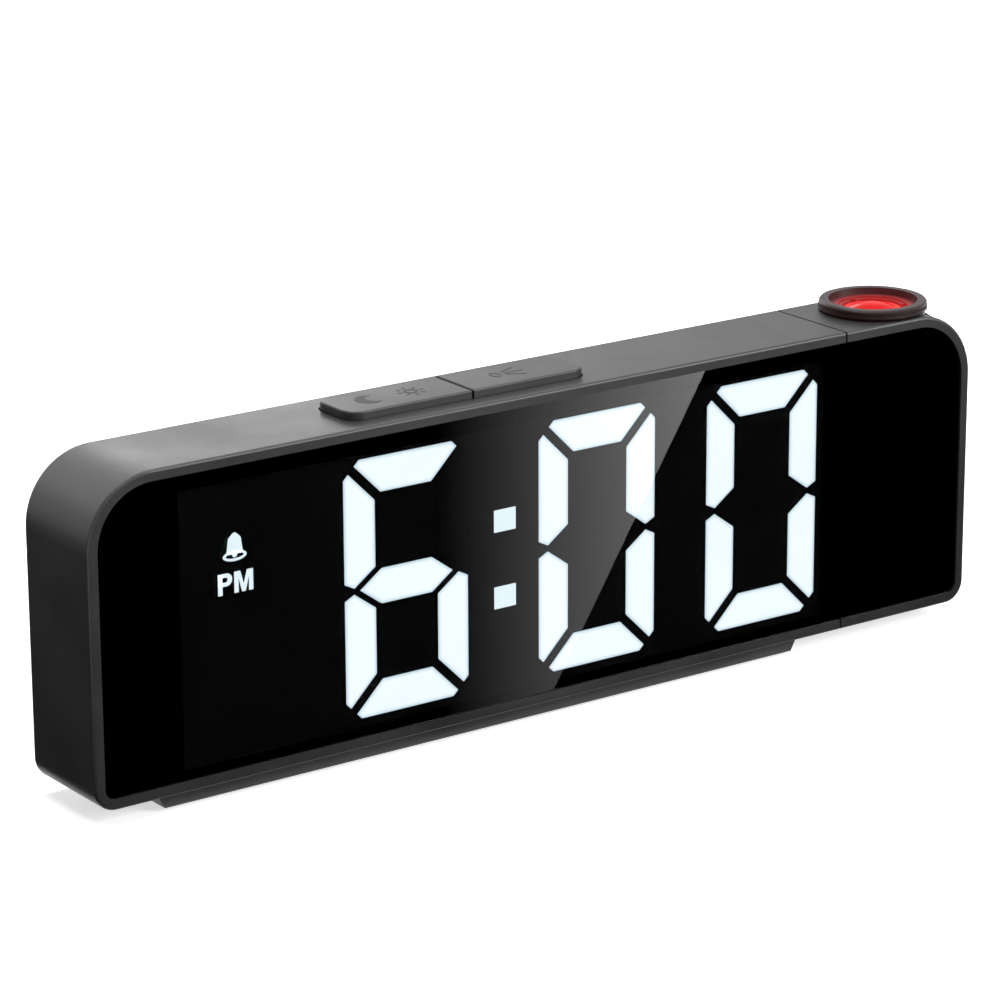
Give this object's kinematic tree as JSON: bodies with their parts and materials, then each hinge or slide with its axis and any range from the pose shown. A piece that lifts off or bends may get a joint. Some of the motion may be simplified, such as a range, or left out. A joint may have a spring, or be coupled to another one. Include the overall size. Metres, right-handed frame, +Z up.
{
  "type": "projection alarm clock",
  "caption": "Slim bar-shaped digital alarm clock with a mirror-black front, lit digits, two top keys and a turning end section that projects the time.",
  "frame": {"origin": "under the middle of the clock, on the surface that it stands on", "axes": "+X to the right as seen from the front, -Y out of the front panel, +Z up"},
  "size_m": [0.19, 0.021, 0.0617],
  "materials": {
    "case_plastic": "fine spark-eroded texture, satin",
    "ring_plastic": "smooth satin",
    "key_plastic": "fine texture, satin, engraved marks",
    "smoked_panel": "polished smoked acrylic",
    "reflector_plastic": "black front, light wells",
    "lit_diffuser": "translucent, lit white",
    "unlit_diffuser": "translucent, unlit and hidden by the panel",
    "circuit_board": "solder mask",
    "led_chip": "clear",
    "red_led": "lit red",
    "red_lens": "polished, lit red from below",
    "clear_lens": "polished",
    "slide_glass": "polished",
    "soft_pad": "dull",
    "steel": "plated",
    "cell_steel": "bright",
    "switch_plastic": "moulded",
    "shaft_plastic": "slick moulded",
    "button_plastic": "satin"
  },
  "bodies": {
    "clock": {"main_case": "case_plastic", "rear_cover": "case_plastic", "display_panel": "smoked_panel", "display_reflector": "reflector_plastic", "lit_segments": "lit_diffuser", "unlit_segments": "unlit_diffuser", "colon_diffusers": "lit_diffuser", "alarm_bell_diffuser": "lit_diffuser", "afternoon_mark_diffuser": "lit_diffuser", "display_board": "circuit_board", "segment_leds": "led_chip", "base_foot": "case_plastic", "foot_pads": "soft_pad", "foot_screws": "steel", "key_switches": "switch_plastic", "cover_screws": "steel", "main_board": "circuit_board", "board_screws": "steel", "rear_switches": "switch_plastic", "power_socket": "steel", "buzzer": "switch_plastic", "coin_cell": "cell_steel", "cell_contact": "steel", "friction_washer": "steel"},
    "projector_head": {"head_case": "case_plastic", "head_panel": "smoked_panel", "head_rear_cover": "case_plastic", "head_screws": "steel", "pivot_shaft": "shaft_plastic", "retaining_clip": "steel", "projector_barrel": "ring_plastic", "condenser_lens": "clear_lens", "time_slide": "slide_glass", "projector_board": "circuit_board", "projector_led": "red_led"},
    "focus": {"focus_ring": "ring_plastic", "ring_clip": "steel"},
    "lens": {"lens_cell": "ring_plastic", "objective_lens": "red_lens"},
    "snooze": {"snooze_key": "key_plastic"},
    "projector_switch": {"projector_key": "key_plastic"},
    "set": {"set_button": "button_plastic"},
    "alarm": {"alarm_button": "button_plastic"},
    "mode": {"mode_button": "button_plastic"},
    "up": {"up_button": "button_plastic"},
    "down": {"down_button": "button_plastic"},
    "door": {"battery_door": "case_plastic"}
  },
  "joints": [
    {"name": "head_turn", "type": "hinge", "parent": "clock", "child": "projector_head", "pos_m": [0.06475, 0, 0.03115], "axis": [1, 0, 0], "range_deg": [-90, 90]},
    {"name": "focus_turn", "type": "hinge", "parent": "projector_head", "child": "focus", "pos_m": [0.07988, 0, 0.0597], "axis": [0, 0, 1], "range_deg": [-50, 50]},
    {"name": "lens_focus", "type": "slide", "parent": "projector_head", "child": "lens", "axis": [0, 0, 1], "range_m": [-0.00105, 0.00105]},
    {"name": "snooze_press", "type": "slide", "parent": "clock", "child": "snooze", "axis": [0, 0, -1], "range_m": [0, 0.0008], "stiffness_N_per_m": 400, "springref_m": -0.001},
    {"name": "projector_press", "type": "slide", "parent": "clock", "child": "projector_switch", "axis": [0, 0, -1], "range_m": [0, 0.0008], "stiffness_N_per_m": 400, "springref_m": -0.001},
    {"name": "set_press", "type": "slide", "parent": "clock", "child": "set", "axis": [0, -1, 0], "range_m": [0, 0.0005], "stiffness_N_per_m": 400, "springref_m": -0.001},
    {"name": "alarm_press", "type": "slide", "parent": "clock", "child": "alarm", "axis": [0, -1, 0], "range_m": [0, 0.0005], "stiffness_N_per_m": 400, "springref_m": -0.001},
    {"name": "mode_press", "type": "slide", "parent": "clock", "child": "mode", "axis": [0, -1, 0], "range_m": [0, 0.0005], "stiffness_N_per_m": 400, "springref_m": -0.001},
    {"name": "up_press", "type": "slide", "parent": "clock", "child": "up", "axis": [0, -1, 0], "range_m": [0, 0.0005], "stiffness_N_per_m": 400, "springref_m": -0.001},
    {"name": "down_press", "type": "slide", "parent": "clock", "child": "down", "axis": [0, -1, 0], "range_m": [0, 0.0005], "stiffness_N_per_m": 400, "springref_m": -0.001},
    {"name": "door_turn", "type": "hinge", "parent": "clock", "child": "door", "pos_m": [-0.066, 0.009, 0.031], "axis": [0, -1, 0], "range_deg": [0, 45]}
  ],
  "couplings": [
    {"joint": "focus_turn", "follows": "lens_focus", "rad_per_m": 833.33}
  ]
}
